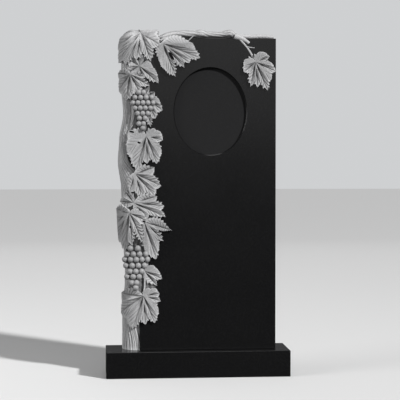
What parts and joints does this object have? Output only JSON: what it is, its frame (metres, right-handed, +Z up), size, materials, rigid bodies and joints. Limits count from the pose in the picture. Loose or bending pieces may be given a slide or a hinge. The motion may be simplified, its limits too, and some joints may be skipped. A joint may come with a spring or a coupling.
{
  "type": "headstone",
  "caption": "Upright polished black granite headstone with a grapevine carved along its left and top edges and an oval portrait recess, on a plain rectangular plinth.",
  "frame": {"origin": "middle of the plinth's underside, on the ground", "axes": "+Z up, -Y the carved front face, +X to the right of a viewer in front"},
  "size_m": [0.7, 0.2, 1.3222],
  "materials": {
    "stele_granite": "fine black granite, mirror polished on the faces, unpolished light grey where it is carved",
    "plinth_granite": "fine black granite, mirror polished"
  },
  "bodies": {
    "root": {"stele": "stele_granite", "plinth": "plinth_granite"}
  },
  "joints": []
}
